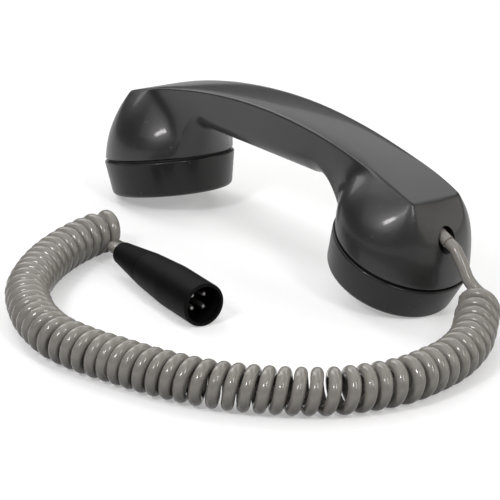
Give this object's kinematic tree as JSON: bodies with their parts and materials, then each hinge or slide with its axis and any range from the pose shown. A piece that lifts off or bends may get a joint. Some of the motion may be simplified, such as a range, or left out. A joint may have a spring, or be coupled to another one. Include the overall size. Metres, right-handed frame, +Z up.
{
  "type": "audio intercom handset",
  "caption": "Telephone-style intercom handset: arched handle, screw caps over receiver and microphone, curly cord and round male connector.",
  "frame": {"origin": "on the table under the middle of the handset, which lies face down on its two caps", "axes": "+X along the handle from the receiver to the transmitter, +Z up, the cord's coil at -Y"},
  "size_m": [0.2862, 0.2035, 0.07],
  "materials": {
    "body_plastic": "moulded, semi-gloss black",
    "cap_plastic": "moulded, semi-gloss black",
    "seal_rubber": "matt black",
    "felt": "pressed felt",
    "capsule_metal": "drawn, plain",
    "diaphragm_sheet": "thin film",
    "copper_winding": "enamelled winding",
    "magnet_iron": "sintered",
    "pot_steel": "plated",
    "terminal_brass": "plain",
    "cup_plastic": "moulded brown",
    "wire_sheath": "smooth",
    "cord_vinyl": "glossy warm grey vinyl",
    "boot_plastic": "satin black",
    "shell_lacquer": "satin black lacquer",
    "insert_plastic": "satin black",
    "pin_plating": "bright plating",
    "chuck_plastic": "plain"
  },
  "bodies": {
    "handset": {"handle_body": "body_plastic", "receiver_case": "capsule_metal", "mic_case": "capsule_metal", "receiver_grille": "capsule_metal", "mic_grille": "capsule_metal", "receiver_magnet": "magnet_iron", "mic_magnet": "magnet_iron", "receiver_pot": "pot_steel", "mic_pot": "pot_steel", "receiver_terminals": "terminal_brass", "terminal_screws": "terminal_brass", "contact_springs": "terminal_brass", "transmitter_cup": "cup_plastic", "receiver_leads": "wire_sheath", "cord_conductors": "wire_sheath", "strain_relief": "cord_vinyl", "curly_cord": "cord_vinyl", "cord_anchor": "pot_steel", "connector_boot": "boot_plastic", "connector_shell": "shell_lacquer", "connector_insert": "insert_plastic", "connector_pins": "pin_plating", "connector_chuck": "chuck_plastic"},
    "receiver_ring": {"receiver_cap_seal": "seal_rubber"},
    "receiver_screw_cap": {"receiver_cap": "cap_plastic", "receiver_felt": "felt"},
    "transmitter_ring": {"transmitter_cap_seal": "seal_rubber"},
    "transmitter_screw_cap": {"transmitter_cap": "cap_plastic", "transmitter_felt": "felt"},
    "receiver_voice_coil": {"receiver_diaphragm": "diaphragm_sheet", "receiver_coil": "copper_winding"},
    "microphone_voice_coil": {"mic_diaphragm": "diaphragm_sheet", "mic_coil": "copper_winding"}
  },
  "joints": [
    {"name": "receiver_cap_lift", "type": "slide", "parent": "handset", "child": "receiver_ring", "axis": [0.225, 0, -0.9744], "range_m": [0, 0.006]},
    {"name": "receiver_cap_turn", "type": "hinge", "parent": "receiver_ring", "child": "receiver_screw_cap", "pos_m": [-0.08079, 0, 0.02235], "axis": [0.225, 0, -0.9744], "range_deg": [0, 720]},
    {"name": "transmitter_cap_lift", "type": "slide", "parent": "handset", "child": "transmitter_ring", "axis": [-0.3746, 0, -0.9272], "range_m": [0, 0.006]},
    {"name": "transmitter_cap_turn", "type": "hinge", "parent": "transmitter_ring", "child": "transmitter_screw_cap", "pos_m": [0.08226, 0, 0.02561], "axis": [-0.3746, 0, -0.9272], "range_deg": [0, 720]},
    {"name": "receiver_diaphragm_swing", "type": "slide", "parent": "handset", "child": "receiver_voice_coil", "axis": [0.225, 0, -0.9744], "range_m": [-0.00025, 0.00025], "stiffness_N_per_m": 1000},
    {"name": "microphone_diaphragm_swing", "type": "slide", "parent": "handset", "child": "microphone_voice_coil", "axis": [-0.3746, 0, -0.9272], "range_m": [-0.00025, 0.00025], "stiffness_N_per_m": 1000}
  ],
  "couplings": [
    {"joint": "receiver_cap_lift", "follows": "receiver_cap_turn", "m_per_rad": 0.000477},
    {"joint": "transmitter_cap_lift", "follows": "transmitter_cap_turn", "m_per_rad": 0.000477}
  ]
}
